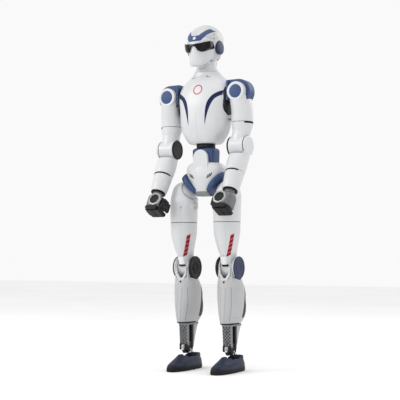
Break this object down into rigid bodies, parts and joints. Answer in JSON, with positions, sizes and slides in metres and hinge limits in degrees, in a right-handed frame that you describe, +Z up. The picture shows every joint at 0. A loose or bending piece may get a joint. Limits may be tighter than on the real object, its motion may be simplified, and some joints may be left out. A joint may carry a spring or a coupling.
{
  "type": "humanoid robot kit",
  "caption": "Full-size humanoid robot with white and navy shells, a dark visor, jointed arms with fists, and legs with shoe-shaped feet.",
  "frame": {"origin": "on the ground under the middle of the standing robot", "axes": "+Z up, the robot faces -Y, +X is its left"},
  "size_m": [0.51, 0.3648, 1.69],
  "materials": {
    "white_shell": "satin white paint on moulded shell",
    "grey_shell": "satin light grey shell",
    "navy_shell": "satin navy paint",
    "deep_navy": "fine textured navy",
    "black_plastic": "matt black",
    "visor": "gloss black",
    "hand_grey": "anodised grey",
    "bare_metal": "brushed",
    "sole_rubber": "black rubber"
  },
  "bodies": {
    "pelvis": {"waist_bearing": "black_plastic", "waist_block": "navy_shell", "pelvis_front_cover": "white_shell", "pelvis_rear": "grey_shell", "hip_ring_left": "navy_shell", "hip_ring_right": "navy_shell"},
    "torso": {"chest_shell": "white_shell", "back_shell": "white_shell", "shoulder_hub_left": "black_plastic", "shoulder_hub_right": "black_plastic"},
    "neck": {"neck_column": "white_shell"},
    "head": {"head_shell": "white_shell", "face_mask": "white_shell", "visor": "visor", "ear_disc_left": "navy_shell", "ear_disc_right": "navy_shell"},
    "shoulder_left": {"shoulder_block_left": "navy_shell"},
    "upper_arm_left": {"upper_arm_sleeve_left": "white_shell"},
    "elbow_left": {"elbow_housing_left": "white_shell", "elbow_cap_left": "black_plastic"},
    "forearm_left": {"forearm_upper_left": "white_shell"},
    "forearm_end_left": {"forearm_lower_left": "white_shell"},
    "hand_left": {"palm_housing_left": "hand_grey"},
    "fingers_left": {"finger_base_left": "black_plastic"},
    "fingertips_left": {"finger_tips_left": "black_plastic"},
    "thumb_left": {"thumb_left": "black_plastic"},
    "hip_left": {"hip_ball_left": "grey_shell"},
    "thigh_left": {"thigh_upper_left": "white_shell"},
    "thigh_end_left": {"thigh_lower_left": "white_shell"},
    "shin_left": {"shin_shell_left": "grey_shell", "calf_insert_left": "black_plastic", "knee_disc_inner_left": "black_plastic", "knee_disc_outer_left": "deep_navy", "ankle_frame_left": "bare_metal", "ankle_actuator_left": "black_plastic"},
    "ankle_left": {"ankle_cross_left": "bare_metal"},
    "foot_left": {"shoe_upper_left": "deep_navy", "sole_left": "sole_rubber"},
    "shoulder_right": {"shoulder_block_right": "navy_shell"},
    "upper_arm_right": {"upper_arm_sleeve_right": "white_shell"},
    "elbow_right": {"elbow_housing_right": "white_shell", "elbow_cap_right": "black_plastic"},
    "forearm_right": {"forearm_upper_right": "white_shell"},
    "forearm_end_right": {"forearm_lower_right": "white_shell"},
    "hand_right": {"palm_housing_right": "hand_grey"},
    "fingers_right": {"finger_base_right": "black_plastic"},
    "fingertips_right": {"finger_tips_right": "black_plastic"},
    "thumb_right": {"thumb_right": "black_plastic"},
    "hip_right": {"hip_ball_right": "grey_shell"},
    "thigh_right": {"thigh_upper_right": "white_shell"},
    "thigh_end_right": {"thigh_lower_right": "white_shell"},
    "shin_right": {"shin_shell_right": "grey_shell", "calf_insert_right": "black_plastic", "knee_disc_inner_right": "black_plastic", "knee_disc_outer_right": "deep_navy", "ankle_frame_right": "bare_metal", "ankle_actuator_right": "black_plastic"},
    "ankle_right": {"ankle_cross_right": "bare_metal"},
    "foot_right": {"shoe_upper_right": "deep_navy", "sole_right": "sole_rubber"}
  },
  "joints": [
    {"name": "waist_yaw", "type": "hinge", "parent": "pelvis", "child": "torso", "pos_m": [0, 0.0394, 1.086], "axis": [0, 0, 1], "range_deg": [-15, 15]},
    {"name": "neck_yaw", "type": "hinge", "parent": "torso", "child": "neck", "pos_m": [0, 0.0494, 1.447], "axis": [0, 0, 1], "range_deg": [-70, 70]},
    {"name": "head_pitch", "type": "hinge", "parent": "neck", "child": "head", "pos_m": [0, 0.0444, 1.505], "axis": [1, 0, 0], "range_deg": [-20, 15]},
    {"name": "shoulder_pitch_left", "type": "hinge", "parent": "torso", "child": "shoulder_left", "pos_m": [0.135, 0.0394, 1.335], "axis": [-1, 0, 0], "range_deg": [-2, 120]},
    {"name": "shoulder_roll_left", "type": "hinge", "parent": "shoulder_left", "child": "upper_arm_left", "pos_m": [0.193, 0.0394, 1.335], "axis": [0, -1, 0], "range_deg": [-4, 95]},
    {"name": "upper_arm_yaw_left", "type": "hinge", "parent": "upper_arm_left", "child": "elbow_left", "pos_m": [0.2, 0.0434, 1.191], "axis": [0, 0, 1], "range_deg": [-15, 80]},
    {"name": "elbow_pitch_left", "type": "hinge", "parent": "elbow_left", "child": "forearm_left", "pos_m": [0.2, 0.0214, 1.075], "axis": [-1, 0, 0], "range_deg": [-5, 88]},
    {"name": "forearm_yaw_left", "type": "hinge", "parent": "forearm_left", "child": "forearm_end_left", "pos_m": [0.2, -0.03372, 0.94256], "axis": [0, 0.4695, 0.8829], "range_deg": [-80, 80]},
    {"name": "wrist_pitch_left", "type": "hinge", "parent": "forearm_end_left", "child": "hand_left", "pos_m": [0.2, -0.08442, 0.8472], "axis": [-1, 0, 0], "range_deg": [-25, 25]},
    {"name": "finger_curl_left", "type": "hinge", "parent": "hand_left", "child": "fingers_left", "pos_m": [0.218, -0.12808, 0.76509], "axis": [0, -0.8829, 0.4695], "range_deg": [0, 80]},
    {"name": "fingertip_curl_left", "type": "hinge", "parent": "fingers_left", "child": "fingertips_left", "pos_m": [0.156, -0.12808, 0.76509], "axis": [0, -0.8829, 0.4695], "range_deg": [0, 80]},
    {"name": "thumb_swing_left", "type": "hinge", "parent": "hand_left", "child": "thumb_left", "pos_m": [0.214, -0.17176, 0.78944], "axis": [0, -0.8829, 0.4695], "range_deg": [0, 70]},
    {"name": "hip_roll_left", "type": "hinge", "parent": "pelvis", "child": "hip_left", "pos_m": [0.12, 0.0394, 0.858], "axis": [0, -1, 0], "range_deg": [-4, 25]},
    {"name": "hip_pitch_left", "type": "hinge", "parent": "hip_left", "child": "thigh_left", "pos_m": [0.12, 0.0394, 0.858], "axis": [-1, 0, 0], "range_deg": [-20, 20]},
    {"name": "thigh_yaw_left", "type": "hinge", "parent": "thigh_left", "child": "thigh_end_left", "pos_m": [0.121, 0.0314, 0.715], "axis": [0, 0, 1], "range_deg": [-25, 25]},
    {"name": "knee_pitch_left", "type": "hinge", "parent": "thigh_end_left", "child": "shin_left", "pos_m": [0.121, 0.0624, 0.496], "axis": [1, 0, 0], "range_deg": [0, 110]},
    {"name": "ankle_pitch_left", "type": "hinge", "parent": "shin_left", "child": "ankle_left", "pos_m": [0.121, 0.0534, 0.088], "axis": [1, 0, 0], "range_deg": [-20, 20]},
    {"name": "ankle_roll_left", "type": "hinge", "parent": "ankle_left", "child": "foot_left", "pos_m": [0.121, 0.0534, 0.088], "axis": [0, 1, 0], "range_deg": [-10, 10]},
    {"name": "shoulder_pitch_right", "type": "hinge", "parent": "torso", "child": "shoulder_right", "pos_m": [-0.135, 0.0394, 1.335], "axis": [-1, 0, 0], "range_deg": [-2, 120]},
    {"name": "shoulder_roll_right", "type": "hinge", "parent": "shoulder_right", "child": "upper_arm_right", "pos_m": [-0.193, 0.0394, 1.335], "axis": [0, -1, 0], "range_deg": [-95, 4]},
    {"name": "upper_arm_yaw_right", "type": "hinge", "parent": "upper_arm_right", "child": "elbow_right", "pos_m": [-0.2, 0.0434, 1.191], "axis": [0, 0, -1], "range_deg": [-15, 80]},
    {"name": "elbow_pitch_right", "type": "hinge", "parent": "elbow_right", "child": "forearm_right", "pos_m": [-0.2, 0.0214, 1.075], "axis": [-1, 0, 0], "range_deg": [-5, 88]},
    {"name": "forearm_yaw_right", "type": "hinge", "parent": "forearm_right", "child": "forearm_end_right", "pos_m": [-0.2, -0.03372, 0.94256], "axis": [0, 0.4695, 0.8829], "range_deg": [-80, 80]},
    {"name": "wrist_pitch_right", "type": "hinge", "parent": "forearm_end_right", "child": "hand_right", "pos_m": [-0.2, -0.08442, 0.8472], "axis": [-1, 0, 0], "range_deg": [-25, 25]},
    {"name": "finger_curl_right", "type": "hinge", "parent": "hand_right", "child": "fingers_right", "pos_m": [-0.218, -0.12808, 0.76509], "axis": [0, 0.8829, -0.4695], "range_deg": [0, 80]},
    {"name": "fingertip_curl_right", "type": "hinge", "parent": "fingers_right", "child": "fingertips_right", "pos_m": [-0.156, -0.12808, 0.76509], "axis": [0, 0.8829, -0.4695], "range_deg": [0, 80]},
    {"name": "thumb_swing_right", "type": "hinge", "parent": "hand_right", "child": "thumb_right", "pos_m": [-0.214, -0.17176, 0.78944], "axis": [0, 0.8829, -0.4695], "range_deg": [0, 70]},
    {"name": "hip_roll_right", "type": "hinge", "parent": "pelvis", "child": "hip_right", "pos_m": [-0.12, 0.0394, 0.858], "axis": [0, -1, 0], "range_deg": [-25, 4]},
    {"name": "hip_pitch_right", "type": "hinge", "parent": "hip_right", "child": "thigh_right", "pos_m": [-0.12, 0.0394, 0.858], "axis": [-1, 0, 0], "range_deg": [-20, 20]},
    {"name": "thigh_yaw_right", "type": "hinge", "parent": "thigh_right", "child": "thigh_end_right", "pos_m": [-0.121, 0.0314, 0.715], "axis": [0, 0, 1], "range_deg": [-25, 25]},
    {"name": "knee_pitch_right", "type": "hinge", "parent": "thigh_end_right", "child": "shin_right", "pos_m": [-0.121, 0.0624, 0.496], "axis": [1, 0, 0], "range_deg": [0, 110]},
    {"name": "ankle_pitch_right", "type": "hinge", "parent": "shin_right", "child": "ankle_right", "pos_m": [-0.121, 0.0534, 0.088], "axis": [1, 0, 0], "range_deg": [-20, 20]},
    {"name": "ankle_roll_right", "type": "hinge", "parent": "ankle_right", "child": "foot_right", "pos_m": [-0.121, 0.0534, 0.088], "axis": [0, 1, 0], "range_deg": [-10, 10]}
  ],
  "couplings": [
    {"joint": "fingertip_curl_left", "follows": "finger_curl_left", "ratio": 1},
    {"joint": "fingertip_curl_right", "follows": "finger_curl_right", "ratio": 1}
  ]
}
